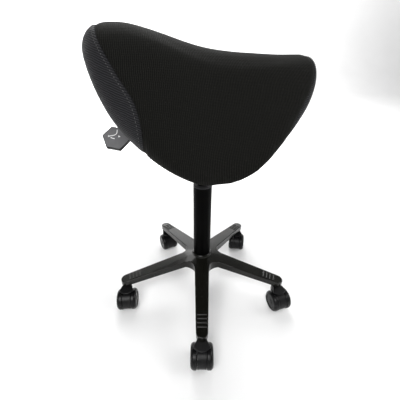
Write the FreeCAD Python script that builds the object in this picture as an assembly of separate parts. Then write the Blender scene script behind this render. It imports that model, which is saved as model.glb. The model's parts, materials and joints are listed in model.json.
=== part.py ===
import FreeCAD, Part
import math
import os

V = FreeCAD.Vector
X_AXIS = V(1, 0, 0)
Y_AXIS = V(0, 1, 0)
Z_AXIS = V(0, 0, 1)

# Saddle stool. Millimetres. The origin is on the floor under the column.
# +X is the way the sitter faces, +Y the sitter's left, +Z up.

# Clearances
RUN_GAP = 0.05
SLIDE_GAP = 0.05
SIDE_GAP = 0.6

# Casters
WHEEL_RADIUS = 30.0
WHEEL_WIDTH = 16.0
CAP_WALL = 3.0
CASTER_BODY_WIDTH = 22.4
CASTER_TRAIL = 22.0
CASTER_TOP = 2 * WHEEL_RADIUS + 10.0
CASTER_TURNS = [-102.0, -85.0, -110.0, -76.0, -97.0]
HOOD_GAP = 1.4
AXLE_RADIUS = 3.0
STEM_RADIUS = 5.5
STEM_FOOT = CASTER_TOP - 24.0
STEM_END_GAP = 0.8
SLEEVE_WALL = 2.0
SLEEVE_FOOT = CASTER_TOP + 3.0
SLEEVE_FLANGE = 1.4
SLEEVE_TOP = SLEEVE_FOOT + 13.0
SLEEVE_CAP = 2.0

# Base
TUBE_RADIUS = 25.0
ARM_COUNT = 5
ARM_TURN = -102.0
ARM_REACH = 250.0
ARM_TIP_TOP = SLEEVE_FOOT + 19.0
ARM_TIP_DEPTH = 18.0
ARM_ROOT_DEPTH = 23.0
ARM_TIP_HALF = 15.0
ARM_ROOT_HALF = 21.0
CASTER_AT = ARM_REACH - 14.0
HUB_RADIUS = TUBE_RADIUS + 7.0
HUB_TOP = ARM_TIP_TOP + 48.0
HUB_FOOT = HUB_TOP - 54.0
ARM_ROOT_TOP = HUB_TOP - 8.0
ARM_ROOT_AT = HUB_RADIUS + 30.0
CROTCH_REACH = HUB_RADIUS + 20.0
WALL = 5.0
ROOF = 6.0
RIB_THICK = 3.0
RIB_INSET = 3.0
BOSS_WALL = 3.5
EDGE_FILLET = 2.0
GRIP_COUNT = 4
GRIP_PITCH = 9.8
GRIP_FIRST_AT = ARM_REACH - 55.5
GRIP_LENGTH = 24.0
GRIP_RADIUS = 3.2
GRIP_HEIGHT = 1.9

# Gas column
TUBE_WALL = 2.0
TUBE_FLOOR = 3.0
TUBE_TAPER = 0.9
TUBE_FOOT = HUB_FOOT - 20.0
TUBE_TOP = TUBE_FOOT + 302.0
TUBE_INSIDE = TUBE_RADIUS - TUBE_TAPER - TUBE_WALL
GUIDE_FOOT = TUBE_TOP - 78.0
ROD_RADIUS = 5.0
ROD_FOOT = TUBE_FOOT - 8.0
CLIP_FOOT = TUBE_FOOT - 4.0
CLIP_TOP = TUBE_FOOT - 2.3
CLIP_DEPTH = 1.0
RACE_THICK = 3.0
CAGE_THICK = 6.0
BEARING_FOOT = TUBE_FOOT + TUBE_FLOOR
BEARING_TOP = BEARING_FOOT + 2 * RACE_THICK + CAGE_THICK
COLLAR_FOOT = BEARING_TOP + 0.2
COLLAR_TOP = COLLAR_FOOT + 6.0
LIFT_RADIUS = 14.0
LIFT_WALL = 2.0
LIFT_FOOT = TUBE_FOOT + 169.0
LIFT_TOP = LIFT_FOOT + 313.0
PLUG_TOP = LIFT_FOOT + 16.0
RISE_ROOM = 11.0
PISTON_FOOT = PLUG_TOP + RISE_ROOM
PISTON_TOP = PISTON_FOOT + 12.0
ROD_TOP = PISTON_TOP + 4.0
CONE_HEIGHT = 44.0
CONE_TAPER = 1.0
BUTTON_RADIUS = 4.0
BUTTON_FOOT = LIFT_TOP - 28.0
BUTTON_TOP = LIFT_TOP + 5.0

# Seat plate and lever
PLATE_FOOT = LIFT_TOP + 16.0
PLATE_THICK = 4.0
PLATE_LENGTH = 150.0
PLATE_WIDTH = 108.0
PLATE_CORNER = 10.0
PLATE_FLANGE = 14.0
SOCKET_RADIUS = LIFT_RADIUS + 5.0
BOLT_SPAN_X = PLATE_LENGTH - 40.0
BOLT_SPAN_Y = PLATE_WIDTH - 32.0
BOLT_RADIUS = 4.0
BOLT_DEPTH = 17.0
WASHER_RADIUS = 8.5
WASHER_THICK = 1.6
HEAD_RADIUS = 7.5
HEAD_HEIGHT = 5.5
INSERT_RADIUS = BOLT_RADIUS + 2.5
BLOCK_INSET_X = 3.0
BLOCK_INSET_Y = 7.0
PIVOT_X = -34.0
LEVER_RADIUS = 3.5
LEVER_CENTRE = BUTTON_TOP + LEVER_RADIUS + 0.3
LEVER_HUB_WIDTH = 14.0
EAR_THICK = 3.0
EAR_INNER = LEVER_HUB_WIDTH / 2 + SIDE_GAP
PIN_RADIUS = 3.0
LEVER_RUN = [(0, 0, 0), (-38, -4, -3.8), (-91, -50, -21.8), (-146, -60, -31.5)]

# Saddle: its surface is drawn on planes that fan out from a line along X under the ridge
FAN_CENTRE = PLATE_FOOT - 94.0
RIDGE_TOP = FAN_CENTRE + 214.5
RIDGE_ROUND = 130.0
FLAP_SLOPE = 55.0
FLAP_REACH = 91.0
FLAP_ROUND_FROM = 0.84
SEAT_THICK = 68.0
FABRIC = 2.5
SHELL_THICK = 9.0
REAR_RIDGE = -200.0
FRONT_RIDGE = 226.0
FLAP_MIDDLE = -11.0
REAR_ROUND = 1.65
FRONT_ROUND = 1.6
RISE_AT = [0, 0.15, 0.42, 0.72, 1]
RIDGE_RISE = [27.5, 30.0, 0, -14.5, -20.0]
FLAP_RISE = [4.0, 0, 0, 0, 3.0]
EDGE_BULGE = 16.5
REAR_LEAN = 23.0
FRONT_LEAN = -3.0
SECTIONS = 15
SEAT_ROOM = 300.0

# Seams seen from the side: x, and height over the fan's centre
REAR_SEAM = [(-197, 270), (-194, 230), (-169, 179), (-144, 135), (-137.5, 100), (-137, 60), (-137, -30)]
FRONT_SEAM = [(224, 270), (216, 185), (194, 143), (171, 117), (147, 90), (124, 45), (110, -30)]

os.makedirs("parts", exist_ok=True)


def save(name, shape):
    shape.exportStep("parts/" + name + ".step")


def polar(radius, angle, z=0.0):
    a = math.radians(angle)
    return V(radius * math.cos(a), radius * math.sin(a), z)


def ring(outer, inner, z0, z1):
    body = Part.makeCylinder(outer, z1 - z0, V(0, 0, z0))
    return body.cut(Part.makeCylinder(inner, z1 - z0, V(0, 0, z0)))


def revolved(points):
    wire = Part.makePolygon([V(r, 0, z) for r, z in points + points[:1]])
    return Part.Face(wire).revolve(V(0, 0, 0), Z_AXIS, 360)


def turned(shape, angle, about=V(0, 0, 0), axis=Z_AXIS):
    copy = shape.copy()
    copy.rotate(about, axis, angle)
    return copy


def moved(shape, x, y, z):
    copy = shape.copy()
    copy.translate(V(x, y, z))
    return copy


# Base star
def star_face(root_half, tip_half, reach, crotch, z):
    """Plan outline of the five arms, with round tips and round crotches."""
    edges = []
    step = 360.0 / ARM_COUNT
    for k in range(ARM_COUNT):
        turn = ARM_TURN + k * step
        along = polar(1, turn)
        across = polar(1, turn + 90)
        tip_at = reach - tip_half

        def at(r, s):
            point = along * r + across * s
            return V(point.x, point.y, z)

        right_root = at(ARM_ROOT_AT, -root_half)
        right_tip = at(tip_at, -tip_half)
        left_tip = at(tip_at, tip_half)
        left_root = at(ARM_ROOT_AT, root_half)
        next_along = polar(1, turn + step)
        next_across = polar(1, turn + step + 90)
        next_root = next_along * ARM_ROOT_AT - next_across * root_half
        next_root = V(next_root.x, next_root.y, z)
        middle = polar(crotch, turn + step / 2, z)
        edges.append(Part.makeLine(right_root, right_tip))
        edges.append(Part.Arc(right_tip, at(reach, 0), left_tip).toShape())
        edges.append(Part.makeLine(left_tip, left_root))
        edges.append(Part.Arc(left_root, middle, next_root).toShape())
    return Part.Face(Part.Wire(edges))


def arm_top(r):
    """Height of the arm's top face at radius r."""
    slope = (ARM_ROOT_TOP - ARM_TIP_TOP) / (ARM_REACH - HUB_RADIUS)
    return ARM_TIP_TOP + (ARM_REACH - r) * slope


def arm_foot(r):
    """Height of the arm's lower edge at radius r."""
    share = (r - ARM_ROOT_AT) / (ARM_REACH - ARM_ROOT_AT)
    return arm_top(r) - ARM_ROOT_DEPTH - share * (ARM_TIP_DEPTH - ARM_ROOT_DEPTH)


def base_star():
    depth = HUB_TOP + 60
    plan = star_face(ARM_ROOT_HALF, ARM_TIP_HALF, ARM_REACH, CROTCH_REACH, 0).extrude(V(0, 0, depth))
    over = ARM_REACH + 5
    side = revolved([
        (0, arm_top(0)), (over, arm_top(over)), (over, arm_foot(over)), (ARM_ROOT_AT, arm_foot(ARM_ROOT_AT)),
        (HUB_RADIUS, HUB_FOOT + 6), (0, HUB_FOOT + 6),
    ])
    arms = plan.common(side)
    upper = [e for e in arms.Edges if e.BoundBox.ZMin > ARM_TIP_TOP - 3]
    arms = arms.makeFillet(EDGE_FILLET, upper)
    collar = TUBE_RADIUS + 3
    hub = revolved([
        (0, HUB_FOOT), (HUB_RADIUS - 2, HUB_FOOT), (HUB_RADIUS, HUB_FOOT + 3), (HUB_RADIUS, HUB_TOP - 12),
        (collar, HUB_TOP - 4), (collar, HUB_TOP - 1), (collar - 1, HUB_TOP), (0, HUB_TOP),
    ])
    star = arms.fuse(hub).removeSplitter()
    inner_plan = star_face(ARM_ROOT_HALF - WALL, ARM_TIP_HALF - WALL, ARM_REACH - WALL,
                           CROTCH_REACH - WALL, 0).extrude(V(0, 0, depth))
    inner_side = revolved([
        (HUB_RADIUS, 0), (HUB_RADIUS, arm_top(HUB_RADIUS) - ROOF), (over, arm_top(over) - ROOF), (over, 0),
    ])
    hollow = inner_plan.common(inner_side)
    star = star.cut(hollow)
    for k in range(ARM_COUNT):
        turn = ARM_TURN + k * 360.0 / ARM_COUNT
        rib_root = HUB_RADIUS - 2
        rib = Part.makePolygon([
            V(rib_root, 0, HUB_FOOT + 10), V(rib_root, 0, arm_top(HUB_RADIUS) - RIB_INSET),
            V(CASTER_AT, 0, arm_top(CASTER_AT) - RIB_INSET), V(CASTER_AT, 0, arm_foot(CASTER_AT) + RIB_INSET),
            V(ARM_ROOT_AT, 0, arm_foot(ARM_ROOT_AT) + RIB_INSET), V(rib_root, 0, HUB_FOOT + 10),
        ])
        rib = Part.Face(rib).extrude(V(0, RIB_THICK, 0))
        rib.translate(V(0, -RIB_THICK / 2, 0))
        spot = V(CASTER_AT, 0, SLEEVE_FOOT)
        boss = Part.makeCylinder(STEM_RADIUS + SLEEVE_WALL + BOSS_WALL, SLEEVE_TOP + 4 - SLEEVE_FOOT, spot)
        bars = []
        for n in range(GRIP_COUNT):
            r = GRIP_FIRST_AT + n * GRIP_PITCH
            bars.append(Part.makeCylinder(GRIP_RADIUS, GRIP_LENGTH,
                                          V(r, -GRIP_LENGTH / 2, arm_top(r) + GRIP_HEIGHT - GRIP_RADIUS),
                                          Y_AXIS))
        star = star.fuse([turned(piece, turn) for piece in [rib, boss] + bars])
        sleeve_hole = Part.makeCylinder(STEM_RADIUS + SLEEVE_WALL, SLEEVE_TOP + SLEEVE_CAP - SLEEVE_FOOT, spot)
        star = star.cut(turned(sleeve_hole, turn))
    bore = tube_cone(0.0)
    return star.cut(bore).removeSplitter()


def tube_cone(gap):
    """The column's tapered foot, or with a gap the hole for it."""
    tall = HUB_TOP - TUBE_FOOT
    cone = Part.makeCone(TUBE_RADIUS - TUBE_TAPER + gap, TUBE_RADIUS + gap, tall, V(0, 0, TUBE_FOOT))
    over = Part.makeCylinder(TUBE_RADIUS + gap, 5, V(0, 0, HUB_TOP))
    return cone.fuse(over)


def per_arm(shape):
    """Five copies of a shape that is drawn on the +X arm."""
    step = 360.0 / ARM_COUNT
    return [turned(shape, ARM_TURN + k * step) for k in range(ARM_COUNT)]


def caster_sleeves():
    outer = STEM_RADIUS + SLEEVE_WALL
    bore = STEM_RADIUS + RUN_GAP
    sleeve = ring(outer, bore, SLEEVE_FOOT, SLEEVE_TOP)
    cap = Part.makeCylinder(outer, SLEEVE_CAP, V(0, 0, SLEEVE_TOP))
    flange = ring(outer + 1, bore, SLEEVE_FOOT - SLEEVE_FLANGE, SLEEVE_FOOT)
    sleeve = sleeve.fuse([cap, flange]).removeSplitter()
    return Part.makeCompound(per_arm(moved(sleeve, CASTER_AT, 0, 0)))


# Casters, drawn with the stem on the Z axis and the wheels trailing along +X
def caster_stem():
    top = SLEEVE_TOP - STEM_END_GAP
    stem = Part.makeCylinder(STEM_RADIUS, top - STEM_FOOT, V(0, 0, STEM_FOOT))
    groove = ring(STEM_RADIUS + 1, STEM_RADIUS - 0.6, SLEEVE_TOP - 6, SLEEVE_TOP - 4)
    return stem.cut(groove)


def caster_hood():
    """Roof over the front half of the wheels, wide over them and narrow at the stem."""
    narrow = STEM_RADIUS + 7.0
    wide = CASTER_BODY_WIDTH / 2 + 9.5
    low = CASTER_TOP - 22
    bend = CASTER_TRAIL - 2
    plan = Part.Face(Part.Wire([
        Part.Arc(V(4, -narrow, low), V(-narrow, 0, low), V(4, narrow, low)).toShape(),
        Part.makeLine(V(4, narrow, low), V(bend, wide, low)),
        Part.Arc(V(bend, wide, low), V(bend + 11, 0, low), V(bend, -wide, low)).toShape(),
        Part.makeLine(V(bend, -wide, low), V(4, -narrow, low)),
    ]))
    hood = plan.extrude(V(0, 0, CASTER_TOP - low))
    slope = Part.Face(Part.makePolygon([
        V(9, -40, CASTER_TOP), V(40, -40, CASTER_TOP - 10), V(40, -40, CASTER_TOP + 5),
        V(9, -40, CASTER_TOP + 5), V(9, -40, CASTER_TOP),
    ])).extrude(V(0, 80, 0))
    hood = hood.cut(slope)
    rim = [e for e in hood.Edges if e.BoundBox.ZMin > CASTER_TOP - 9]
    hood = hood.makeFillet(2.5, rim)
    return hood.cut(Part.makeCylinder(WHEEL_RADIUS + HOOD_GAP, 80, V(CASTER_TRAIL, -40, WHEEL_RADIUS), Y_AXIS))


def caster_body():
    """Hood, and the drum between the wheels that carries the stem and the axle."""
    half = CASTER_BODY_WIDTH / 2
    drum = Part.makeCylinder(WHEEL_RADIUS - 1.5, 2 * half, V(CASTER_TRAIL, -half, WHEEL_RADIUS), Y_AXIS)
    nose = -STEM_RADIUS - 5.5
    back = CASTER_TRAIL + 2
    neck = Part.Face(Part.makePolygon([
        V(nose, -half, CASTER_TOP - 6), V(nose, -half, CASTER_TOP - 20), V(-5, -half, WHEEL_RADIUS - 4),
        V(back, -half, WHEEL_RADIUS - 6), V(back, -half, CASTER_TOP - 8), V(nose, -half, CASTER_TOP - 6),
    ])).extrude(V(0, 2 * half, 0))
    front = [e for e in neck.Edges if e.BoundBox.XMax < -4 and e.BoundBox.YLength < 0.1]
    neck = neck.makeFillet(4, front)
    body = caster_hood().fuse([drum, neck]).removeSplitter()
    body = body.cut(Part.makeCylinder(STEM_RADIUS, 40, V(0, 0, STEM_FOOT)))
    return body.cut(Part.makeCylinder(AXLE_RADIUS, 60, V(CASTER_TRAIL, -30, WHEEL_RADIUS), Y_AXIS))


def caster_axle():
    length = CASTER_BODY_WIDTH + 2 * (WHEEL_WIDTH - CAP_WALL)
    axle = Part.makeCylinder(AXLE_RADIUS, length, V(CASTER_TRAIL, -length / 2, WHEEL_RADIUS), Y_AXIS)
    return axle.makeChamfer(0.5, [e for e in axle.Edges if e.Curve.TypeId == "Part::GeomCircle"])


def caster_wheel(side):
    """One wheel: dished disc, rounded tread and hub with the axle bore."""
    w = WHEEL_WIDTH
    r = WHEEL_RADIUS
    bore = AXLE_RADIUS + RUN_GAP
    face = Part.Wire([
        Part.makeLine(V(0, 0, 0), V(r - 3, 0, 0)),
        Part.Arc(V(r - 3, 0, 0), V(r - 0.9, 0, 0.9), V(r, 0, 3)).toShape(),
        Part.makeLine(V(r, 0, 3), V(r, 0, w - 8)),
        Part.Arc(V(r, 0, w - 8), V(r - 2.0, 0, w - 3.0), V(r - 7, 0, w)).toShape(),
        Part.makeLine(V(r - 7, 0, w), V(r - 9, 0, w)),
        Part.makeLine(V(r - 9, 0, w), V(r - 10, 0, w - 1.6)),
        Part.makeLine(V(r - 10, 0, w - 1.6), V(7, 0, w - 1.2)),
        Part.makeLine(V(7, 0, w - 1.2), V(6, 0, w)),
        Part.makeLine(V(6, 0, w), V(0, 0, w)),
        Part.makeLine(V(0, 0, w), V(0, 0, 0)),
    ])
    wheel = Part.Face(face).revolve(V(0, 0, 0), Z_AXIS, 360)
    wheel = wheel.cut(Part.makeCylinder(bore, w - CAP_WALL))
    wheel.rotate(V(0, 0, 0), X_AXIS, -90 * side)
    start = side * (CASTER_BODY_WIDTH / 2 + SIDE_GAP)
    wheel.translate(V(CASTER_TRAIL, start, WHEEL_RADIUS))
    return wheel


def place_caster(shape, k):
    spot = polar(CASTER_AT, ARM_TURN + k * 360.0 / ARM_COUNT)
    placed = turned(shape, CASTER_TURNS[k])
    placed.translate(spot)
    return placed


# Gas column
def column_tube():
    foot = tube_cone(0.0)
    barrel = Part.makeCylinder(TUBE_RADIUS, TUBE_TOP - HUB_TOP, V(0, 0, HUB_TOP))
    tube = foot.fuse(barrel).removeSplitter()
    inside = Part.makeCylinder(TUBE_INSIDE, TUBE_TOP - BEARING_FOOT, V(0, 0, BEARING_FOOT))
    hole = Part.makeCylinder(ROD_RADIUS + 0.08, 10, V(0, 0, TUBE_FOOT - 1))
    return tube.cut(inside).cut(hole)


def column_guide():
    sleeve = ring(TUBE_INSIDE, LIFT_RADIUS + SLIDE_GAP, GUIDE_FOOT, TUBE_TOP)
    for n in range(6):
        slot = Part.makeBox(6, 3, TUBE_TOP - GUIDE_FOOT - 30, V(TUBE_INSIDE - 3, -1.5, GUIDE_FOOT + 12))
        sleeve = sleeve.cut(turned(slot, n * 60))
    return sleeve


def column_end_ring():
    top = TUBE_TOP + 5
    points = [(LIFT_RADIUS + 0.3, TUBE_TOP), (TUBE_RADIUS, TUBE_TOP), (TUBE_RADIUS, top - 2),
              (TUBE_RADIUS - 2, top), (LIFT_RADIUS + 1.3, top), (LIFT_RADIUS + 0.3, top - 1)]
    return revolved(points)


def lift_cylinder():
    cone_foot = LIFT_TOP - CONE_HEIGHT
    barrel = Part.makeCylinder(LIFT_RADIUS, cone_foot - LIFT_FOOT, V(0, 0, LIFT_FOOT))
    cone = Part.makeCone(LIFT_RADIUS, LIFT_RADIUS - CONE_TAPER, CONE_HEIGHT, V(0, 0, cone_foot))
    inside = Part.makeCylinder(LIFT_RADIUS - LIFT_WALL, cone_foot - 10 - LIFT_FOOT, V(0, 0, LIFT_FOOT))
    bore = Part.makeCylinder(BUTTON_RADIUS + RUN_GAP, 60, V(0, 0, LIFT_TOP - 54))
    return barrel.fuse(cone).removeSplitter().cut(inside).cut(bore)


def release_button():
    pin = Part.makeCylinder(BUTTON_RADIUS, BUTTON_TOP - BUTTON_FOOT, V(0, 0, BUTTON_FOOT))
    rim = [e for e in pin.Edges if abs(e.BoundBox.ZMax - BUTTON_TOP) < 0.1
           and e.Curve.TypeId == "Part::GeomCircle"]
    return pin.makeFillet(1.0, rim)


def lift_seal_plug():
    return ring(LIFT_RADIUS - LIFT_WALL, ROD_RADIUS + RUN_GAP, LIFT_FOOT, PLUG_TOP)


def lift_rod():
    rod = Part.makeCylinder(ROD_RADIUS, ROD_TOP - ROD_FOOT, V(0, 0, ROD_FOOT))
    collar = Part.makeCylinder(ROD_RADIUS + 4, COLLAR_TOP - COLLAR_FOOT, V(0, 0, COLLAR_FOOT))
    groove = ring(ROD_RADIUS + 1, ROD_RADIUS - CLIP_DEPTH, CLIP_FOOT, CLIP_TOP)
    return rod.fuse(collar).cut(groove)


def lift_piston():
    outer = LIFT_RADIUS - LIFT_WALL
    piston = ring(outer - SLIDE_GAP, ROD_RADIUS, PISTON_FOOT, PISTON_TOP)
    groove = ring(outer + 2, outer - 2, PISTON_FOOT + 4.5, PISTON_TOP - 4.5)
    return piston.cut(groove)


def thrust_bearing():
    bore = ROD_RADIUS + 0.08
    cage_foot = BEARING_FOOT + RACE_THICK
    low = ring(16, bore, BEARING_FOOT, cage_foot)
    cage = ring(14, 8, cage_foot, cage_foot + CAGE_THICK)
    high = ring(16, bore, cage_foot + CAGE_THICK, BEARING_TOP)
    return Part.makeCompound([low, cage, high])


def rubber_buffer():
    steps = [(13, 0), (14, 3.8), (12.5, 7.8), (14, 11.8), (12, 17.8), (ROD_RADIUS, 19.8)]
    return revolved([(ROD_RADIUS, COLLAR_TOP)] + [(r, COLLAR_TOP + z) for r, z in steps])


def foot_washer():
    return ring(14, ROD_RADIUS + 0.3, TUBE_FOOT - 2.1, TUBE_FOOT - 0.1)


def foot_clip():
    clip = ring(ROD_RADIUS + 3, ROD_RADIUS - CLIP_DEPTH, CLIP_FOOT, CLIP_TOP)
    mouth = 2 * (ROD_RADIUS - CLIP_DEPTH) - 0.4
    return clip.cut(Part.makeBox(12, mouth, 4, V(0, -mouth / 2, CLIP_FOOT - 1)))


# Seat plate and lever
def bolt_spots():
    return [(sx * BOLT_SPAN_X / 2, sy * BOLT_SPAN_Y / 2) for sx in (-1, 1) for sy in (-1, 1)]


def seat_plate():
    half_l = PLATE_LENGTH / 2
    half_w = PLATE_WIDTH / 2
    flat = Part.makeBox(PLATE_LENGTH, PLATE_WIDTH, PLATE_THICK, V(-half_l, -half_w, PLATE_FOOT))
    plate = flat.makeFillet(PLATE_CORNER, [e for e in flat.Edges if e.BoundBox.ZLength > 1])
    for side in (-1, 1):
        y = side * half_w - (PLATE_THICK if side > 0 else 0)
        shoulder = PLATE_CORNER + 5
        flange = Part.makeBox(PLATE_LENGTH - 2 * shoulder, PLATE_THICK, PLATE_FLANGE,
                              V(-half_l + shoulder, y, PLATE_FOOT - PLATE_FLANGE))
        low = [e for e in flange.Edges if e.BoundBox.YLength > 1 and e.BoundBox.ZMax < PLATE_FOOT - 5]
        plate = plate.fuse(flange.makeChamfer(6, low))
    for x, y in bolt_spots():
        plate = plate.cut(Part.makeCylinder(BOLT_RADIUS + 0.4, 10, V(x, y, PLATE_FOOT - 1)))
    return plate.removeSplitter()


def cone_socket():
    tall = CONE_HEIGHT
    outer = Part.makeCylinder(SOCKET_RADIUS, PLATE_FOOT - (LIFT_TOP - tall), V(0, 0, LIFT_TOP - tall))
    foot = [e for e in outer.Edges if e.BoundBox.ZMax < LIFT_TOP - tall + 1]
    outer = outer.makeChamfer(1.5, foot)
    cone = Part.makeCone(LIFT_RADIUS, LIFT_RADIUS - CONE_TAPER, tall, V(0, 0, LIFT_TOP - tall))
    room = Part.makeCylinder(LIFT_RADIUS - CONE_TAPER, PLATE_FOOT + 4 - LIFT_TOP, V(0, 0, LIFT_TOP))
    window = Part.makeBox(30, 13, 13, V(-30, -6.5, LIFT_TOP + 3))
    return outer.cut(cone).cut(room).cut(window)


def plate_bolts():
    """Hexagon bolts from below, through washer and plate into the inserts."""
    bolts = []
    head_foot = PLATE_FOOT - WASHER_THICK - HEAD_HEIGHT
    for x, y in bolt_spots():
        corner = [V(x, y, head_foot) + polar(HEAD_RADIUS, 60 * n) for n in range(7)]
        head = Part.Face(Part.makePolygon(corner)).extrude(V(0, 0, HEAD_HEIGHT))
        crown = Part.makeSphere(16, V(x, y, head_foot + 15.2))
        shank = Part.makeCylinder(BOLT_RADIUS, WASHER_THICK + PLATE_THICK + BOLT_DEPTH - 1,
                                  V(x, y, PLATE_FOOT - WASHER_THICK))
        bolts.append(head.common(crown).fuse(shank).removeSplitter())
    return Part.makeCompound(bolts)


def plate_washers():
    washer = ring(WASHER_RADIUS, BOLT_RADIUS + 0.2, PLATE_FOOT - WASHER_THICK, PLATE_FOOT)
    return Part.makeCompound([moved(washer, x, y, 0) for x, y in bolt_spots()])


def block_inserts():
    insert = ring(INSERT_RADIUS, BOLT_RADIUS, PLATE_FOOT + PLATE_THICK, PLATE_FOOT + PLATE_THICK + BOLT_DEPTH)
    return Part.makeCompound([moved(insert, x, y, 0) for x, y in bolt_spots()])


def lever_bracket():
    """Two ears under the plate that hold the pivot pin."""
    ears = []
    for side in (-1, 1):
        y = EAR_INNER if side > 0 else -EAR_INNER - EAR_THICK
        ear = Part.makeBox(22, EAR_THICK, 18, V(PIVOT_X - 12, y, PLATE_FOOT - 18))
        low = [e for e in ear.Edges if e.BoundBox.YLength > 1 and e.BoundBox.ZMax < PLATE_FOOT - 10]
        ear = ear.makeFillet(6, low)
        ears.append(ear.cut(Part.makeCylinder(PIN_RADIUS, 40, V(PIVOT_X, -20, LEVER_CENTRE), Y_AXIS)))
    return Part.makeCompound(ears)


def lever_pin():
    outer = EAR_INNER + EAR_THICK
    pin = Part.makeCylinder(PIN_RADIUS, 2 * outer + 2.8, V(PIVOT_X, -outer - 1.4, LEVER_CENTRE), Y_AXIS)
    head = Part.makeCylinder(5, 2, V(PIVOT_X, outer, LEVER_CENTRE), Y_AXIS)
    return pin.fuse(head).removeSplitter()


def lever_path():
    """Corners of the lever's rod, from the pivot out to the paddle."""
    return [V(PIVOT_X + x, y, LEVER_CENTRE + z) for x, y, z in LEVER_RUN]


def lever_rod():
    """Hub on the pin, a nose over the button and the bent rod out to the paddle."""
    path = lever_path()
    pieces = []
    for a, b in zip(path[:-1], path[1:]):
        pieces.append(Part.makeCylinder(LEVER_RADIUS, (b - a).Length, a, b - a))
        pieces.append(Part.makeSphere(LEVER_RADIUS, b))
    nose = Part.makeCylinder(LEVER_RADIUS, -PIVOT_X, V(PIVOT_X, 0, LEVER_CENTRE), X_AXIS)
    tip = Part.makeSphere(LEVER_RADIUS, V(0, 0, LEVER_CENTRE))
    hub = Part.makeCylinder(PLATE_FOOT - LEVER_CENTRE - 0.4, LEVER_HUB_WIDTH,
                            V(PIVOT_X, -LEVER_HUB_WIDTH / 2, LEVER_CENTRE), Y_AXIS)
    rod = hub.fuse([nose, tip] + pieces).removeSplitter()
    return rod.cut(Part.makeCylinder(PIN_RADIUS + RUN_GAP, 40, V(PIVOT_X, -20, LEVER_CENTRE), Y_AXIS))


def lever_paddle():
    """Six-sided flat grip that the rod's end sits in."""
    end = lever_path()[-1]
    start = lever_path()[-2]
    along = end - start
    along.normalize()
    corners = [(25, 13.5), (2, 27), (-28, 9), (-28, -9), (2, -27), (25, -13.5)]
    wire = Part.makePolygon([V(x, y, -4.5) for x, y in corners + corners[:1]])
    paddle = Part.Face(wire).extrude(V(0, 0, 9))
    upright = [e for e in paddle.Edges if e.BoundBox.ZLength > 1]
    paddle = paddle.makeFillet(3, upright)
    rim = [e for e in paddle.Edges if e.BoundBox.ZLength < 0.01]
    paddle = paddle.makeChamfer(1.2, rim)
    sleeve = Part.makeCylinder(6, 22, V(-40, 0, 0), X_AXIS)
    paddle = paddle.fuse(sleeve).removeSplitter()
    facing = V(0, -0.69, 0.72)
    paddle.Placement = FreeCAD.Placement(end + along * 8, FreeCAD.Rotation(along, V(0, 0, 0), facing, "XZY"))
    return paddle.cut(Part.makeCylinder(LEVER_RADIUS, 60 + LEVER_RADIUS + 1, end - along * 60, along))


# Saddle: sections fanned about a line along X under the ridge
def waist(angle):
    """Distance from the fan's centre line to the seat's surface at its waist."""
    a = abs(angle)
    slope = math.radians(FLAP_SLOPE)
    lift = RIDGE_TOP - RIDGE_ROUND - FAN_CENTRE
    tangent = math.atan2(RIDGE_ROUND * math.sin(slope), lift + RIDGE_ROUND * math.cos(slope))
    if a < tangent:
        return lift * math.cos(a) + math.sqrt(RIDGE_ROUND ** 2 - (lift * math.sin(a)) ** 2)
    return (math.cos(slope) * lift + RIDGE_ROUND) / math.cos(a - slope)


def fan_wire(q, inset, top, bottom):
    """One closed section. q runs from -1 at the right flap's end to 1 at the left one.

    Inset, top and bottom are depths below the fabric's surface, from the ends and from above.
    """
    angle = q * math.radians(FLAP_REACH)
    p = abs(q)
    fade = math.cos(math.pi / 2 * p)
    rear = FLAP_MIDDLE + (REAR_RIDGE - FLAP_MIDDLE) * (1 - p ** REAR_ROUND) ** (1 / REAR_ROUND)
    front = FLAP_MIDDLE + (FRONT_RIDGE - FLAP_MIDDLE) * (1 - p ** FRONT_ROUND) ** (1 / FRONT_ROUND)
    rise = [a * fade + b * (1 - fade) for a, b in zip(RIDGE_RISE, FLAP_RISE)]
    past = max(0.0, p - FLAP_ROUND_FROM) / (1 - FLAP_ROUND_FROM)
    thin = math.sqrt(1 - past ** 2)
    half = SEAT_THICK * thin / 2
    bulge = EDGE_BULGE * thin
    edge_round = (half ** 2 + bulge ** 2) / (2 * bulge)
    radius = waist(angle) - SEAT_THICK / 2 + half

    def place(u, lift, depth):
        r = radius + lift - depth * thin
        return V(u, r * math.sin(angle), FAN_CENTRE + r * math.cos(angle))

    def bar(depth):
        """The five points of the section's line at a depth, from rear to front."""
        off = depth * thin - half
        out = math.sqrt(edge_round ** 2 - off ** 2) - edge_round + bulge - inset
        lean = depth / SEAT_THICK * thin
        spots = [rear + (front - rear) * part for part in RISE_AT]
        spots[0] -= out + REAR_LEAN * lean
        spots[4] += out + FRONT_LEAN * lean
        return [place(u, lift, depth) for u, lift in zip(spots, rise)]

    high, middle, low = bar(top), bar((top + bottom) / 2), bar(bottom)
    upper = Part.BSplineCurve()
    upper.interpolate(high)
    lower = Part.BSplineCurve()
    lower.interpolate(low[::-1])
    front_edge = Part.Arc(high[4], middle[4], low[4])
    rear_edge = Part.Arc(low[0], middle[0], high[0])
    return Part.Wire([upper.toShape(), front_edge.toShape(), lower.toShape(), rear_edge.toShape()])


def fan_loft(reach, inset, top, bottom):
    wires = []
    last = 84.0
    for n in range(SECTIONS):
        turn = -last + 2 * last * n / (SECTIONS - 1)
        q = reach * math.sin(math.radians(turn)) / math.sin(math.radians(last))
        wires.append(fan_wire(q, inset, top, bottom))
    return Part.makeLoft(wires, True, False)


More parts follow.
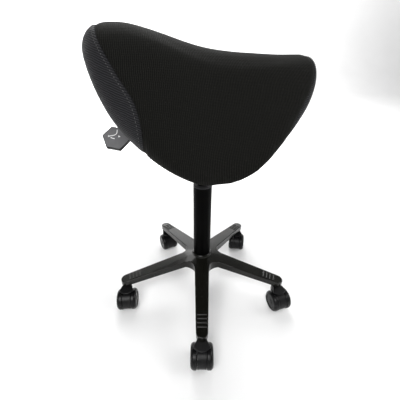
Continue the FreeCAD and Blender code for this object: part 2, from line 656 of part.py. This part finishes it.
def seam_zone(points, beyond):
    """Everything past a seam line that is drawn in the XZ plane, right across the seat."""
    line = [V(x, -SEAT_ROOM, FAN_CENTRE + height) for x, height in points]
    curve = Part.BSplineCurve()
    curve.interpolate(line)
    over = FAN_CENTRE + SEAT_ROOM + 130
    corners = [line[-1], V(beyond, -SEAT_ROOM, line[-1].z), V(beyond, -SEAT_ROOM, over),
               V(line[0].x, -SEAT_ROOM, over), line[0]]
    lines = [Part.makeLine(a, b) for a, b in zip(corners[:-1], corners[1:])]
    return Part.Face(Part.Wire([curve.toShape()] + lines)).extrude(V(0, 2 * SEAT_ROOM, 0))


def seat_pieces():
    outer = fan_loft(0.99, 0, 0, SEAT_THICK)
    inner = fan_loft(0.975, FABRIC, FABRIC, SEAT_THICK + 1.5)
    skin = outer.cut(inner)
    rear_zone = seam_zone(REAR_SEAM, REAR_RIDGE - 200)
    front_zone = seam_zone(FRONT_SEAM, FRONT_RIDGE + 174)
    core = fan_loft(0.974, FABRIC + 0.1, FABRIC + 0.1, SEAT_THICK + 1.5)
    shell_zone = fan_loft(0.99, -20, SEAT_THICK - SHELL_THICK, SEAT_THICK)
    foam = max(core.cut(shell_zone).Solids, key=lambda solid: solid.Volume)
    shell = core.common(shell_zone)
    block_foot = PLATE_FOOT + PLATE_THICK
    block = Part.makeBox(PLATE_LENGTH - 2 * BLOCK_INSET_X, PLATE_WIDTH - 2 * BLOCK_INSET_Y, SEAT_THICK + 2,
                         V(BLOCK_INSET_X - PLATE_LENGTH / 2, BLOCK_INSET_Y - PLATE_WIDTH / 2, block_foot))
    block = sorted(block.cut(outer).Solids, key=lambda solid: solid.CenterOfMass.z)[0].cut(shell)
    for x, y in bolt_spots():
        block = block.cut(Part.makeCylinder(INSERT_RADIUS, BOLT_DEPTH, V(x, y, block_foot)))
    return {
        "seat_cover_rear_band": skin.common(rear_zone),
        "seat_cover_front_band": skin.common(front_zone),
        "seat_cover_top": skin.cut(rear_zone).cut(front_zone),
        "seat_foam": foam,
        "seat_shell": shell,
        "seat_block": block,
    }


save("base_star", base_star())
save("caster_sleeves", caster_sleeves())
for k in range(ARM_COUNT):
    number = str(k + 1)
    save("caster_" + number + "_stem", place_caster(caster_stem(), k))
    save("caster_" + number + "_body", place_caster(caster_body(), k))
    save("caster_" + number + "_axle", place_caster(caster_axle(), k))
    save("caster_" + number + "_wheel_left", place_caster(caster_wheel(1), k))
    save("caster_" + number + "_wheel_right", place_caster(caster_wheel(-1), k))
save("column_tube", column_tube())
save("column_guide", column_guide())
save("column_end_ring", column_end_ring())
save("lift_cylinder", lift_cylinder())
save("release_button", release_button())
save("lift_seal_plug", lift_seal_plug())
save("lift_rod", lift_rod())
save("lift_piston", lift_piston())
save("thrust_bearing", thrust_bearing())
save("rubber_buffer", rubber_buffer())
save("foot_washer", foot_washer())
save("foot_clip", foot_clip())
save("seat_plate", seat_plate())
save("cone_socket", cone_socket())
save("plate_bolts", plate_bolts())
save("plate_washers", plate_washers())
save("block_inserts", block_inserts())
save("lever_bracket", lever_bracket())
save("lever_pin", lever_pin())
save("lever_rod", lever_rod())
save("lever_paddle", lever_paddle())
for name, shape in seat_pieces().items():
    save(name, shape)
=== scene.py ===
import bpy
import bmesh
import json
import math
from mathutils import Vector, Matrix
from mathutils.bvhtree import BVHTree


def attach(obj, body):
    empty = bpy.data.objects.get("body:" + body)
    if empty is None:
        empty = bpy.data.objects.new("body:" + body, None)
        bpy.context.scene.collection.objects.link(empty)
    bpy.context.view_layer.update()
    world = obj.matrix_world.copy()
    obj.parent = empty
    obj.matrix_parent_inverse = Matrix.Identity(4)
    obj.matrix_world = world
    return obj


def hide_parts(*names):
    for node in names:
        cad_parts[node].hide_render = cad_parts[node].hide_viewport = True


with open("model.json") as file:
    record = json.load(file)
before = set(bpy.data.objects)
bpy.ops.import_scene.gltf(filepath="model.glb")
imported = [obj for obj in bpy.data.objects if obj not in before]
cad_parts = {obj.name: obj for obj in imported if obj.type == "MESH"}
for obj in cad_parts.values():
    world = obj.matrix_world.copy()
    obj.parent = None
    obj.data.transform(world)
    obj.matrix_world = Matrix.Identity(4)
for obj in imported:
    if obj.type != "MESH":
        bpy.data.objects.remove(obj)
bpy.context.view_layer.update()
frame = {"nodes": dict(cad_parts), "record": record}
scene = bpy.context.scene
nodes = frame["nodes"]

# Sizes in metres. The seams and the grip have the same places as in the part's source.
FAN_CENTRE = 0.470
REAR_SEAM = [(-0.197, 0.740), (-0.194, 0.700), (-0.169, 0.649), (-0.144, 0.605),
             (-0.1375, 0.570), (-0.137, 0.530), (-0.137, 0.440)]
FRONT_SEAM = [(0.224, 0.740), (0.216, 0.655), (0.194, 0.613), (0.171, 0.587),
              (0.147, 0.560), (0.124, 0.515), (0.110, 0.440)]

# Cushion
VOXEL = 0.005
PUFF_PRESSURE = 4.0
PUFF_FRAMES = 20
PUFF_CAP = 0.002
# The cloth pulls in a little, so the surface is set out again by this much
SET_OUT = 0.0008
GROOVE_HALF = 0.009
GROOVE_DEPTH = 0.0022

# Seams and stitches
SEAM_RADIUS = 0.0009
SEAM_SINK = 0.0002
SEAM_PITCH = 0.004
STITCH_OFFSET = 0.0065
STITCH_PITCH = 0.0062
STITCH_LENGTH = 0.0034
STITCH_RADIUS = 0.0005
TUBE_SIDES = 6
# Distances from the line under the ridge: where the rays start, and the least one for a hit
RAY_START = 0.36
REACH_LEAST = 0.05
# A longer step between two points of a seam is a gap
STEP_MOST = 0.03

# Cloth patterns
RIB_PITCH = 0.0031
THREAD_PITCH = 0.0022
BAND_ROW_PITCH = 0.0034
BAND_ROW_SLOPE = 0.35
WANDER = 0.004

# Lever grip: the rod's last bend and end, and the way its face looks
PADDLE_AT = Vector((-0.180, -0.060, 0.5253))
PADDLE_BEND = Vector((-0.125, -0.050, 0.535))
PADDLE_FACING = Vector((0, -0.69, 0.72))
PADDLE_SHIFT = 0.008
PADDLE_HALF = 0.0045

# Camera: place, direction, roll in degrees, lens in millimetres
CAMERA_AT = (-0.1282, -0.5691, 0.6786)
CAMERA_FORWARD = (0.1780, 0.8345, -0.5215)
CAMERA_ROLL = 0.35
LENS = 22.5
SENSOR = 36


# Camera and light
def look(location, forward, roll):
    forward = Vector(forward).normalized()
    turn = forward.to_track_quat("-Z", "Y").to_matrix()
    turn = turn @ Matrix.Rotation(math.radians(roll), 3, "Z")
    placed = turn.to_4x4()
    placed.translation = Vector(location)
    return placed


camera_data = bpy.data.cameras.new("camera")
camera_data.lens = LENS
camera_data.sensor_width = SENSOR
camera = bpy.data.objects.new("camera", camera_data)
scene.collection.objects.link(camera)
camera.matrix_world = look(CAMERA_AT, CAMERA_FORWARD, CAMERA_ROLL)
camera_data.clip_start = 0.02
scene.camera = camera


def area_light(name, location, target, size, power):
    data = bpy.data.lights.new(name, "AREA")
    data.size = size
    data.energy = power
    light = bpy.data.objects.new(name, data)
    light.location = location
    aim = Vector(target) - Vector(location)
    light.rotation_euler = aim.to_track_quat("-Z", "Y").to_euler()
    scene.collection.objects.link(light)


area_light("key_light", (-0.9, -1.6, 2.1), (0, 0, 0.4), 1.4, 44)
area_light("fill_light", (1.9, -0.6, 1.6), (0, 0, 0.4), 1.2, 20)
area_light("back_light", (0.2, 1.9, 2.2), (0, 0, 0.3), 1.4, 30)
area_light("wall_light", (0, 0.9, 2.6), (0, 4.4, 1.6), 2.0, 260)


def studio_world():
    """White all round, and darker straight above."""
    world = bpy.data.worlds.new("studio")
    world.use_nodes = True
    tree = world.node_tree
    sky = tree.nodes["Background"]
    sky.inputs["Strength"].default_value = 0.62
    place = tree.nodes.new("ShaderNodeTexCoord")
    split = tree.nodes.new("ShaderNodeSeparateXYZ")
    shade = tree.nodes.new("ShaderNodeValToRGB")
    low, high = shade.color_ramp.elements
    low.position = 0.25
    low.color = (1, 1, 1, 1)
    high.position = 0.85
    high.color = (0.25, 0.25, 0.25, 1)
    tree.links.new(place.outputs["Generated"], split.inputs["Vector"])
    tree.links.new(split.outputs["Z"], shade.inputs["Fac"])
    tree.links.new(shade.outputs["Color"], sky.inputs["Color"])
    scene.world = world


studio_world()
scene.view_settings.view_transform = "Standard"


# Material helpers
class Shader:
    """A node material with a few short calls for textures and bumps."""

    def __init__(self, name, colour, rough, metallic=0.0, specular=0.5):
        self.material = bpy.data.materials.new(name)
        self.material.use_nodes = True
        self.tree = self.material.node_tree
        self.shader = self.tree.nodes["Principled BSDF"]
        self.shader.inputs["Base Color"].default_value = (*colour, 1)
        self.shader.inputs["Roughness"].default_value = rough
        self.shader.inputs["Metallic"].default_value = metallic
        self.shader.inputs["Specular IOR Level"].default_value = specular
        self.normal = None

    def node(self, kind, **settings):
        made = self.tree.nodes.new(kind)
        for key, value in settings.items():
            setattr(made, key, value)
        return made

    def link(self, a, b):
        self.tree.links.new(a, b)

    def coords(self, scale=(1, 1, 1)):
        place = self.node("ShaderNodeTexCoord")
        mapping = self.node("ShaderNodeMapping")
        mapping.inputs["Scale"].default_value = scale
        self.link(place.outputs["Object"], mapping.inputs["Vector"])
        return mapping.outputs["Vector"]

    def noise(self, scale, detail, vector=None):
        made = self.node("ShaderNodeTexNoise")
        made.inputs["Scale"].default_value = scale
        made.inputs["Detail"].default_value = detail
        self.link(vector or self.coords(), made.inputs["Vector"])
        return made.outputs["Fac"]

    def ranged(self, value, low, high, out_low, out_high):
        made = self.node("ShaderNodeMapRange")
        made.inputs["From Min"].default_value = low
        made.inputs["From Max"].default_value = high
        made.inputs["To Min"].default_value = out_low
        made.inputs["To Max"].default_value = out_high
        self.link(value, made.inputs["Value"])
        return made.outputs["Result"]

    def math(self, kind, a, b):
        made = self.node("ShaderNodeMath", operation=kind)
        for slot, value in zip(made.inputs, (a, b)):
            if isinstance(value, (int, float)):
                slot.default_value = value
            else:
                self.link(value, slot)
        return made.outputs[0]

    def axes(self):
        """The X and Z sockets of the object's own coordinates."""
        place = self.node("ShaderNodeTexCoord")
        split = self.node("ShaderNodeSeparateXYZ")
        self.link(place.outputs["Object"], split.inputs["Vector"])
        return split.outputs["X"], split.outputs["Z"]

    def rows(self, value, pitch):
        """A wave from -1 to 1 along a value in metres."""
        return self.math("SINE", self.math("MULTIPLY", value, 2 * math.pi / pitch), 0)

    def mottle(self, value, low, high, dark, light):
        """Base colour from dark to light as the value goes from low to high."""
        ramp = self.node("ShaderNodeValToRGB")
        ramp.color_ramp.elements[0].position = low
        ramp.color_ramp.elements[0].color = (*dark, 1)
        ramp.color_ramp.elements[1].position = high
        ramp.color_ramp.elements[1].color = (*light, 1)
        self.link(value, ramp.inputs["Fac"])
        self.link(ramp.outputs["Color"], self.shader.inputs["Base Color"])

    def roughness(self, value, low, high):
        self.link(self.ranged(value, 0.3, 0.7, low, high), self.shader.inputs["Roughness"])

    def bump(self, value, distance, strength):
        made = self.node("ShaderNodeBump")
        made.inputs["Strength"].default_value = strength
        made.inputs["Distance"].default_value = distance
        self.link(value, made.inputs["Height"])
        if self.normal:
            self.link(self.normal, made.inputs["Normal"])
        self.normal = made.outputs["Normal"]
        self.link(self.normal, self.shader.inputs["Normal"])


# Fabrics
def ribbed_fabric():
    """Black cloth with fine ribs that run down the flaps, crossed by a finer thread."""
    s = Shader("seat_ribbed_fabric", (0.012, 0.012, 0.011), 0.85, specular=0.08)
    s.shader.inputs["Sheen Weight"].default_value = 0.03
    s.shader.inputs["Sheen Roughness"].default_value = 0.4
    s.shader.inputs["Sheen Tint"].default_value = (0.8, 0.8, 0.76, 1)
    x, z = s.axes()
    along = s.math("ADD", x, s.math("MULTIPLY", s.noise(28, 2), WANDER))
    ribs = s.rows(along, RIB_PITCH)
    thread = s.rows(z, THREAD_PITCH)
    weave = s.math("ADD", s.math("MULTIPLY", ribs, 0.35), s.math("MULTIPLY", thread, 0.15))
    weave = s.math("ADD", weave, 0.5)
    fibre = s.noise(900, 4)
    value = s.math("ADD", s.math("MULTIPLY", weave, 0.7), s.math("MULTIPLY", fibre, 0.3))
    s.mottle(value, 0.25, 0.85, (0.0008, 0.0008, 0.0007), (0.0125, 0.0125, 0.0108))
    s.bump(fibre, 0.0004, 0.5)
    s.bump(weave, 0.0006, 0.8)
    return s.material


def band_material():
    """Near-black knit with fine rows across the band."""
    s = Shader("band_knit", (0.008, 0.0085, 0.011), 0.7, specular=0.15)
    s.shader.inputs["Sheen Weight"].default_value = 0.05
    s.shader.inputs["Sheen Roughness"].default_value = 0.4
    x, z = s.axes()
    height = s.math("ADD", z, s.math("MULTIPLY", x, BAND_ROW_SLOPE))
    height = s.math("ADD", height, s.math("MULTIPLY", s.noise(40, 2), WANDER))
    rows = s.rows(height, BAND_ROW_PITCH)
    rows = s.math("ADD", s.math("MULTIPLY", rows, 0.5), 0.5)
    fibre = s.noise(800, 4)
    soft = s.noise(30, 3)
    value = s.math("ADD", s.math("MULTIPLY", rows, 0.6), s.math("MULTIPLY", fibre, 0.25))
    value = s.math("ADD", value, s.math("MULTIPLY", soft, 0.25))
    s.mottle(value, 0.3, 0.9, (0.0022, 0.0022, 0.0028), (0.024, 0.024, 0.027))
    s.roughness(soft, 0.6, 0.8)
    s.bump(fibre, 0.0004, 0.5)
    s.bump(rows, 0.0006, 0.8)
    return s.material


# Coatings, plastics and metal
def painted(name, colour, rough, coat=0.0, grain=0.0, specular=0.4):
    """Paint or coating with slight unevenness and small rubbed spots."""
    s = Shader(name, colour, rough, specular=specular)
    s.shader.inputs["Coat Weight"].default_value = coat
    s.shader.inputs["Coat Roughness"].default_value = 0.06
    soft = s.noise(14, 5)
    light = tuple(c * 1.33 + 0.0005 for c in colour)
    s.mottle(soft, 0.35, 0.72, colour, light)
    s.roughness(soft, rough * 0.85, rough * 1.3)
    if grain:
        s.bump(s.noise(900, 2), grain, 0.5)
    return s.material


def plastic(name, colour, rough, grain=0.0002):
    """Moulded plastic, rubber or thread with an even fine grain."""
    s = Shader(name, colour, rough, specular=0.22)
    soft = s.noise(22, 4)
    s.mottle(soft, 0.3, 0.75, colour, tuple(c * 1.5 for c in colour))
    s.roughness(soft, rough * 0.9, rough * 1.2)
    s.bump(s.noise(1400, 2), grain, 0.5)
    return s.material


def steel(name):
    """Bare plated steel with soft streaks."""
    s = Shader(name, (0.55, 0.56, 0.57), 0.3, metallic=1.0)
    soft = s.noise(160, 3, s.coords((1, 1, 8)))
    s.mottle(soft, 0.3, 0.7, (0.42, 0.43, 0.44), (0.62, 0.62, 0.63))
    s.roughness(soft, 0.22, 0.42)
    return s.material


# Looks of the CAD nodes, by material slot
cloth = ribbed_fabric()
band = band_material()
cast = painted("gloss_cast", (0.0045, 0.0045, 0.0034), 0.2, coat=0.3, specular=0.16)
tube_paint = painted("satin_tube", (0.0006, 0.0006, 0.0006), 0.36, grain=0.0001, specular=0.03)
plate_paint = painted("plate_paint", (0.006, 0.006, 0.006), 0.42, grain=0.0002)
caster_plastic = plastic("caster_plastic", (0.0025, 0.0025, 0.0028), 0.34)
wheel_plastic = plastic("wheel_plastic", (0.0025, 0.0025, 0.0028), 0.26)
sleeve_plastic = plastic("sleeve_plastic", (0.016, 0.016, 0.017), 0.5)
rubber = plastic("buffer_rubber", (0.02, 0.02, 0.02), 0.8)
shell_plastic = plastic("shell_plastic", (0.015, 0.015, 0.016), 0.55, grain=0.0004)
zinc = steel("zinc_steel")
paddle_black = plastic("paddle_plastic", (0.010, 0.010, 0.011), 0.22, grain=0.0001)
wood = plastic("block_wood", (0.35, 0.24, 0.13), 0.7, grain=0.0005)

SLOT_LOOKS = {
    "gloss_black_cast": cast, "sleeve_plastic": sleeve_plastic, "steel": zinc,
    "caster_plastic": caster_plastic, "wheel_plastic": wheel_plastic, "black_tube_paint": tube_paint,
    "buffer_rubber": rubber, "plate_paint": plate_paint, "paddle_plastic": paddle_black,
    "seat_fabric": cloth, "edge_material": band, "foam": rubber, "shell_plastic": shell_plastic,
    "block_wood": wood,
}


def paddle_frame():
    """Matrix of the lever's grip: X along the rod, Z out of its face, origin on the face's middle."""
    along = (PADDLE_AT - PADDLE_BEND).normalized()
    out = (PADDLE_FACING - along * PADDLE_FACING.dot(along)).normalized()
    placed = Matrix((along, out.cross(along), out)).transposed().to_4x4()
    placed.translation = PADDLE_AT + along * PADDLE_SHIFT + out * PADDLE_HALF
    return placed


def grip_face():
    """Satin grey on the grip's face, black on its rim."""
    s = Shader("grip_face", (0.15, 0.15, 0.155), 0.32, specular=0.2)
    geometry = s.node("ShaderNodeNewGeometry")
    flat = s.node("ShaderNodeVectorMath", operation="DOT_PRODUCT")
    s.link(geometry.outputs["Normal"], flat.inputs[0])
    flat.inputs[1].default_value = paddle_frame().col[2][:3]
    facing = s.ranged(flat.outputs["Value"], 0.9, 0.97, 0.0, 0.75)
    facing = s.math("ADD", facing, s.math("MULTIPLY", s.noise(90, 4), 0.25))
    s.mottle(facing, 0.1, 1.0, (0.003, 0.003, 0.003), (0.17, 0.17, 0.175))
    s.bump(s.noise(700, 2), 0.0001, 0.4)
    return s.material


for part in frame["record"]["subparts"]:
    look_of_it = SLOT_LOOKS[part["material_slot"]]
    mesh = nodes[part["node"]].data
    if mesh.materials:
        for n in range(len(mesh.materials)):
            mesh.materials[n] = look_of_it
    else:
        mesh.materials.append(look_of_it)

nodes["lever_paddle"].data.materials[0] = grip_face()


# Seat cushion
def curve_x(points, z):
    """The seam's x at a height, on a smooth curve through its points."""
    if z >= points[0][1]:
        return points[0][0]
    for n in range(len(points) - 1):
        (xa, za), (xb, zb) = points[n], points[n + 1]
        if zb <= z <= za:
            before = points[max(n - 1, 0)]
            after = points[min(n + 2, len(points) - 1)]
            slope_a = (xb - before[0]) / (zb - before[1])
            slope_b = (after[0] - xa) / (after[1] - za)
            t = (z - za) / (zb - za)
            run = zb - za
            return ((2 * t ** 3 - 3 * t ** 2 + 1) * xa + (t ** 3 - 2 * t ** 2 + t) * run * slope_a
                    + (-2 * t ** 3 + 3 * t ** 2) * xb + (t ** 3 - t ** 2) * run * slope_b)
    return points[-1][0]


def joined_copy(name, sources):
    """One mesh from copies of several CAD nodes."""
    made = bmesh.new()
    for source in sources:
        made.from_mesh(nodes[source].data)
    mesh = bpy.data.meshes.new(name)
    made.to_mesh(mesh)
    made.free()
    obj = bpy.data.objects.new(name, mesh)
    scene.collection.objects.link(obj)
    return obj


def apply_modifiers(obj):
    graph = bpy.context.evaluated_depsgraph_get()
    mesh = bpy.data.meshes.new_from_object(obj.evaluated_get(graph))
    obj.modifiers.clear()
    obj.data = mesh


def puff_up(obj):
    """Cloth under light pressure, so that the cover is drawn over the foam."""
    cloth_mod = obj.modifiers.new("cloth", "CLOTH")
    settings = cloth_mod.settings
    settings.use_pressure = True
    settings.uniform_pressure_force = PUFF_PRESSURE
    settings.effector_weights.gravity = 0
    settings.tension_stiffness = 40
    settings.compression_stiffness = 40
    settings.bending_stiffness = 2
    cloth_mod.point_cache.frame_start = 1
    cloth_mod.point_cache.frame_end = PUFF_FRAMES
    before = [v.co.copy() for v in obj.data.vertices]
    for n in range(1, PUFF_FRAMES + 1):
        scene.frame_set(n)
    apply_modifiers(obj)
    for vertex, start in zip(obj.data.vertices, before):
        move = vertex.co - start
        if move.length > PUFF_CAP:
            vertex.co = start + move.normalized() * PUFF_CAP
    scene.frame_set(1)


def smooth(obj, rounds):
    mod = obj.modifiers.new("smooth", "SMOOTH")
    mod.iterations = rounds
    mod.factor = 0.5
    apply_modifiers(obj)


def outward(obj, amount):
    """Moves every vertex along its normal."""
    mesh = obj.data
    normals = [v.normal.copy() for v in mesh.vertices]
    for vertex, normal in zip(mesh.vertices, normals):
        vertex.co += normal * amount


def underside(point, normal):
    """Says whether a spot of the seat looks towards the line under the ridge."""
    out = Vector((0, point.y, point.z - FAN_CENTRE))
    return out.length > 0.01 and normal.dot(out.normalized()) < -0.5


def seat_cushion():
    """The whole padded seat: remeshed, puffed, then creased along its two seams."""
    covers = ["seat_cover_top", "seat_cover_rear_band", "seat_cover_front_band"]
    obj = joined_copy("seat_cushion", covers + ["seat_foam", "seat_shell"])
    mod = obj.modifiers.new("remesh", "REMESH")
    mod.mode = "VOXEL"
    mod.voxel_size = VOXEL
    apply_modifiers(obj)
    smooth(obj, 12)
    puff_up(obj)
    smooth(obj, 3)
    outward(obj, SET_OUT)
    split = obj.modifiers.new("subdivision", "SUBSURF")
    split.levels = 1
    apply_modifiers(obj)
    mesh = obj.data
    mesh.materials.clear()
    for look_of_it in (cloth, band, shell_plastic):
        mesh.materials.append(look_of_it)
    normals = [v.normal.copy() for v in mesh.vertices]
    for vertex, normal in zip(mesh.vertices, normals):
        x, z = vertex.co.x, vertex.co.z
        gap = min(abs(x - curve_x(REAR_SEAM, z)), abs(x - curve_x(FRONT_SEAM, z)))
        if gap < GROOVE_HALF and not underside(vertex.co, normal):
            vertex.co -= normal * GROOVE_DEPTH * (1 - gap / GROOVE_HALF) ** 2
    for face in mesh.polygons:
        face.use_smooth = True
        c = face.center
        if c.x < curve_x(REAR_SEAM, c.z) or c.x > curve_x(FRONT_SEAM, c.z):
            face.material_index = 1
        if underside(c, face.normal):
            face.material_index = 2
    return obj


cushion = seat_cushion()
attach(cushion, "seat")
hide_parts("seat_cover_top", "seat_cover_rear_band", "seat_cover_front_band",
            "seat_foam", "seat_shell")


# Seams and stitches, laid on the finished cushion
def seam_line(points, shift, sink):
    """Points and normals along a seam, from one flap's lower edge over the ridge to the other's."""
    tree = BVHTree.FromObject(cushion, bpy.context.evaluated_depsgraph_get())
    found = []
    for n in range(-170, 171):
        angle = math.radians(n / 2)
        out = Vector((0, math.sin(angle), math.cos(angle)))
        reach = 0.2
        # The seam's x depends on the height of the spot that the ray finds, so it is found in rounds
        for _ in range(8):
            x = curve_x(points, FAN_CENTRE + reach * math.cos(angle)) + shift
            start = Vector((x, 0, FAN_CENTRE)) + out * RAY_START
            hit, normal, _, distance = tree.ray_cast(start, -out)
            if hit is None:
                break
            reach = RAY_START - distance
        if hit is not None and reach > REACH_LEAST:
            found.append((hit - normal * sink, normal))
    return found


def spaced(line, pitch):
    """The line's points at equal distances, each with its direction and normal."""
    made = []
    left = 0.0
    for (a, normal), (b, _) in zip(line[:-1], line[1:]):
        run = b - a
        if run.length > STEP_MOST:
            continue
        while left < run.length:
            made.append((a + run * (left / run.length), run.normalized(), normal))
            left += pitch
        left -= run.length
    return made


def mesh_object(name, made, material, body):
    """A finished piece that rides on a body of the part."""
    mesh = bpy.data.meshes.new(name)
    made.to_mesh(mesh)
    made.free()
    for face in mesh.polygons:
        face.use_smooth = True
    mesh.materials.append(material)
    obj = bpy.data.objects.new(name, mesh)
    scene.collection.objects.link(obj)
    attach(obj, body)
    return obj


def add_ring(made, centre, side, up, radius):
    """Corners of one ring of a thin tube."""
    corners = []
    for m in range(TUBE_SIDES):
        a = 2 * math.pi * m / TUBE_SIDES
        spot = centre + side * (radius * math.cos(a)) + up * (radius * math.sin(a))
        corners.append(made.verts.new(spot))
    return corners


def close_tube(made, rings):
    """Faces between a tube's rings and over its two ends."""
    for low, high in zip(rings[:-1], rings[1:]):
        for m in range(TUBE_SIDES):
            k = (m + 1) % TUBE_SIDES
            made.faces.new((low[m], low[k], high[k], high[m]))
    made.faces.new(rings[0][::-1])
    made.faces.new(rings[-1])


def add_capsule(made, centre, along, normal, length, radius):
    """A stitch: a short thread that dips at both ends."""
    side = normal.cross(along).normalized()
    rings = []
    for n in range(7):
        t = n / 6
        fat = radius * max(0.25, math.sin(math.pi * (0.08 + 0.84 * t)))
        lift = radius * (1.3 * math.sin(math.pi * t) - 0.5)
        spot = centre + along * (length * (t - 0.5)) + normal * lift
        rings.append(add_ring(made, spot, side, normal, fat))
    close_tube(made, rings)


def add_tube(made, line, radius):
    """A seam: a thin tube along a line."""
    rings = []
    for centre, along, normal in line:
        side = normal.cross(along).normalized()
        rings.append(add_ring(made, centre, side, normal, radius))
    close_tube(made, rings)


light_thread = plastic("light_thread", (0.075, 0.075, 0.075), 0.8)
# Near-black thread. On the seam tubes it is painted shade that draws the thin dark line of each
# seam's crease; the front stitches use it as dark thread.
dark_thread_and_seam_shade = plastic("dark_thread_and_seam_shade", (0.001, 0.001, 0.001), 0.9)
SEAMS = [("rear", REAR_SEAM, -1, light_thread), ("front", FRONT_SEAM, 1, dark_thread_and_seam_shade)]
for name, points, side, thread in SEAMS:
    seam = bmesh.new()
    add_tube(seam, spaced(seam_line(points, 0, SEAM_SINK), SEAM_PITCH), SEAM_RADIUS)
    # The tube stands for the sewn seam, and its near-black colour is painted shade along the seam's
    # crease.
    mesh_object(name + "_seam", seam, dark_thread_and_seam_shade, "seat")
    stitches = bmesh.new()
    for centre, along, normal in spaced(seam_line(points, side * STITCH_OFFSET, 0.0), STITCH_PITCH):
        add_capsule(stitches, centre, along, normal, STITCH_LENGTH, STITCH_RADIUS)
    mesh_object(name + "_stitches", stitches, thread, "seat")


# White height mark on the grip's face, in millimetres
MARK_BARS = [
    [(-5.6, -15.5), (-3.6, -10.0), (-0.7, -7.0), (3.5, -6.0), (7.1, -6.3), (13.1, -7.2)],
    [(5.0, 1.5), (8.4, -0.6), (11.4, -3.5)],
]
MARK_ARROWS = [((-4.6, -1.0), 2.2), ((13.6, -7.6), 2.2)]
MARK_WIDTH = 1.5
MARK_THICK = 0.25


def grip_mark():
    """Two curved bars and two arrow heads, slightly raised."""
    made = bmesh.new()
    outlines = []
    for bar in MARK_BARS:
        left, right = [], []
        for n, (x, y) in enumerate(bar):
            ax, ay = bar[max(n - 1, 0)]
            bx, by = bar[min(n + 1, len(bar) - 1)]
            run = math.hypot(bx - ax, by - ay)
            nx, ny = -(by - ay) / run * MARK_WIDTH / 2, (bx - ax) / run * MARK_WIDTH / 2
            left.append((x + nx, y + ny))
            right.append((x - nx, y - ny))
        outlines += [[left[n], left[n + 1], right[n + 1], right[n]] for n in range(len(bar) - 1)]
    for (x, y), size in MARK_ARROWS:
        outlines.append([(x, y - size), (x + size, y + size * 0.8), (x - size, y + size * 0.8)])
    for outline in outlines:
        low = [made.verts.new(Vector((x, y, -MARK_THICK)) / 1000) for x, y in outline]
        high = [made.verts.new(Vector((x, y, MARK_THICK)) / 1000) for x, y in outline]
        made.faces.new(high)
        made.faces.new(low[::-1])
        for n in range(len(outline)):
            m = (n + 1) % len(outline)
            made.faces.new((low[n], low[m], high[m], high[n]))
    bmesh.ops.recalc_face_normals(made, faces=made.faces)
    bmesh.ops.transform(made, matrix=paddle_frame(), verts=made.verts)
    white = plastic("mark_white", (0.75, 0.75, 0.75), 0.5, grain=0.0)
    mark = mesh_object("grip_mark", made, white, "lever")
    for face in mark.data.polygons:
        face.use_smooth = False


grip_mark()


# Floor and backdrop
def backdrop():
    """Pale paper that runs from the floor up the wall in one curve."""
    half_width = 6.0
    front = -4.0
    bend = 3.0
    radius = 1.5
    top = 5.0
    steps = 12
    profile = [(front, 0.0), (bend, 0.0)]
    for n in range(1, steps + 1):
        a = math.radians(90 * n / steps)
        profile.append((bend + radius * math.sin(a), radius - radius * math.cos(a)))
    profile.append((bend + radius, top))
    verts = [(x, y, z) for y, z in profile for x in (-half_width, half_width)]
    faces = [(2 * n, 2 * n + 1, 2 * n + 3, 2 * n + 2) for n in range(len(profile) - 1)]
    mesh = bpy.data.meshes.new("floor")
    mesh.from_pydata(verts, [], faces)
    for face in mesh.polygons:
        face.use_smooth = True
    floor = bpy.data.objects.new("floor", mesh)
    scene.collection.objects.link(floor)
    s = Shader("floor_paper", (0.92, 0.92, 0.92), 0.7, specular=0.2)
    s.mottle(s.noise(3, 2), 0.3, 0.7, (0.91, 0.91, 0.91), (0.93, 0.93, 0.93))
    mesh.materials.append(s.material)


backdrop()
